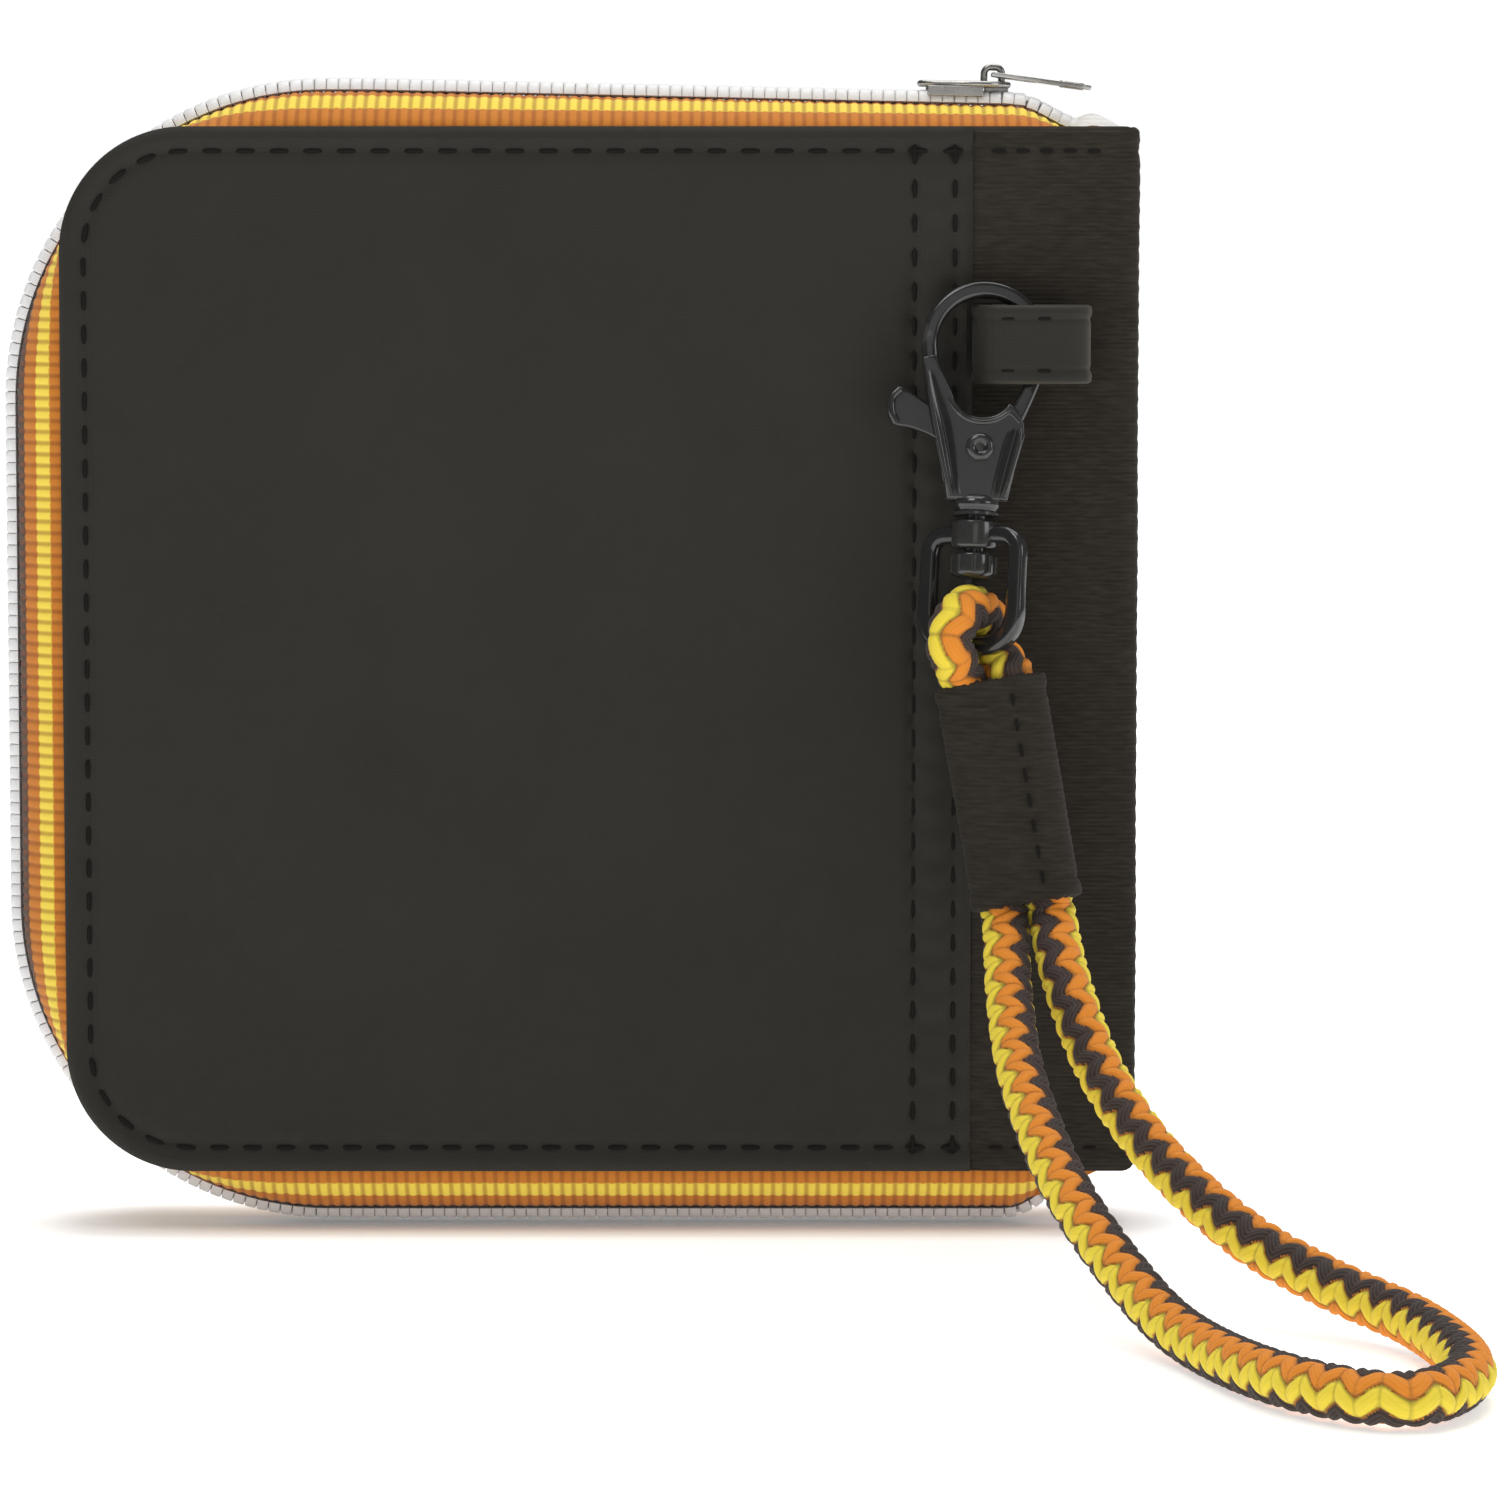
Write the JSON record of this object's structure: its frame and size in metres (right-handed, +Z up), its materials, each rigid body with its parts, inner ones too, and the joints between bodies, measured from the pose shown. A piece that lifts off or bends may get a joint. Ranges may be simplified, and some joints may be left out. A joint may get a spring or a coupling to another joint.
{
  "type": "zip-around wallet",
  "caption": "Square zip-around wallet that folds open like a book, with a zipped coin pouch as a page, a snap hook in a tab loop and a braided wrist cord.",
  "frame": {"origin": "centre of the back cover's outer face, with the wallet zipped shut", "axes": "+X across the covers towards the spine, +Y out of the back cover, +Z up along the spine; the front cover looks along -Y"},
  "size_m": [0.1496, 0.1278, 0.1254],
  "materials": {
    "coated_fabric": "fine woven fabric with a matt coating, very dark olive grey",
    "ribbed_fabric": "fabric with fine crosswise ribs, dark brown black",
    "board": "plain stiffener board, hidden between cover and lining",
    "lining": "plain woven lining, dark grey",
    "striped_tape": "ribbed zip tape woven in orange, yellow, orange and dark stripes from the seam to the teeth",
    "plain_tape": "plain black zip tape",
    "zip_teeth": "coiled nylon teeth, pale grey",
    "slider_metal": "die-cast, dark nickel plating",
    "black_metal": "die-cast, glossy black plating with worn bright edges",
    "spring_steel": "bare drawn wire",
    "braided_cord": "round braid with yellow, orange and dark purple stripes that run along the cord"
  },
  "bodies": {
    "back": {"back_cover": "coated_fabric", "back_spine_strip": "ribbed_fabric", "back_board": "board", "back_lining": "lining", "back_zip_tape": "striped_tape", "back_zip_teeth": "zip_teeth", "bill_pocket": "lining", "card_pocket_1": "lining", "card_pocket_2": "lining", "card_pocket_3": "lining", "card_pocket_4": "lining"},
    "spine": {"spine_strip": "ribbed_fabric", "spine_board": "board", "spine_lining": "lining", "coin_pouch": "lining", "coin_zip_tape_front": "plain_tape", "coin_zip_tape_rear": "plain_tape", "coin_zip_teeth_front": "zip_teeth", "coin_zip_teeth_rear": "zip_teeth"},
    "front": {"front_cover": "coated_fabric", "front_spine_strip": "ribbed_fabric", "front_board": "board", "front_lining": "lining", "front_zip_tape": "striped_tape", "front_zip_teeth": "zip_teeth", "slip_pocket": "lining", "tab_loop": "coated_fabric"},
    "zip_slider": {"zip_slider": "slider_metal"},
    "zip_pull": {"zip_slider_pull": "slider_metal"},
    "coin_slider": {"coin_slider": "slider_metal"},
    "coin_pull": {"coin_slider_pull": "slider_metal"},
    "hook": {"hook_body": "black_metal", "gate_rivet": "black_metal", "gate_spring": "spring_steel", "swivel_pin": "black_metal"},
    "gate": {"hook_gate": "black_metal"},
    "eye": {"swivel_eye": "black_metal"},
    "lanyard": {"wrist_cord": "braided_cord", "cord_sleeve": "ribbed_fabric"}
  },
  "joints": [
    {"name": "spine_fold", "type": "hinge", "parent": "back", "child": "spine", "pos_m": [0.0566, -0.0008, 0], "axis": [0, 0, 1], "range_deg": [0, 90]},
    {"name": "cover_fold", "type": "hinge", "parent": "spine", "child": "front", "pos_m": [0.0566, -0.0212, 0], "axis": [0, 0, 1], "range_deg": [0, 90]},
    {"name": "zip_travel", "type": "slide", "parent": "back", "child": "zip_slider", "axis": [-0.9998, 0, 0.022], "range_m": [0, 0.063]},
    {"name": "pull_swing", "type": "hinge", "parent": "zip_slider", "child": "zip_pull", "pos_m": [0.04233, -0.011, 0.06166], "axis": [0, -1, 0], "range_deg": [0, 184]},
    {"name": "coin_zip_travel", "type": "slide", "parent": "spine", "child": "coin_slider", "axis": [-1, 0, 0], "range_m": [0, 0.073]},
    {"name": "coin_pull_swing", "type": "hinge", "parent": "coin_slider", "child": "coin_pull", "pos_m": [0.04237, -0.0111, 0.04793], "axis": [0, -1, 0], "range_deg": [0, 175]},
    {"name": "hook_swing", "type": "hinge", "parent": "front", "child": "hook", "pos_m": [0.0408, -0.0256, 0.033], "axis": [-0.0082, 0.9877, -0.1562], "range_deg": [-10, 10]},
    {"name": "gate_open", "type": "hinge", "parent": "hook", "child": "gate", "pos_m": [0.04022, -0.02735, 0.02195], "axis": [0.0082, -0.9877, 0.1562], "range_deg": [0, 12], "stiffness_Nm_per_rad": 0.002, "springref_deg": -28.65, "deforming": ["gate_spring"]},
    {"name": "swivel_turn", "type": "hinge", "parent": "hook", "child": "eye", "pos_m": [0.0408, -0.0256, 0.033], "axis": [0.0517, 0.1564, 0.9863], "range_deg": [-80, 60]},
    {"name": "cord_swing", "type": "hinge", "parent": "eye", "child": "lanyard", "pos_m": [0.03915, -0.03061, 0.00144], "axis": [-0.8227, 0.5665, -0.0467], "range_deg": [-8, 80]}
  ],
  "couplings": [
    {"joint": "cover_fold", "follows": "spine_fold", "ratio": 1}
  ]
}
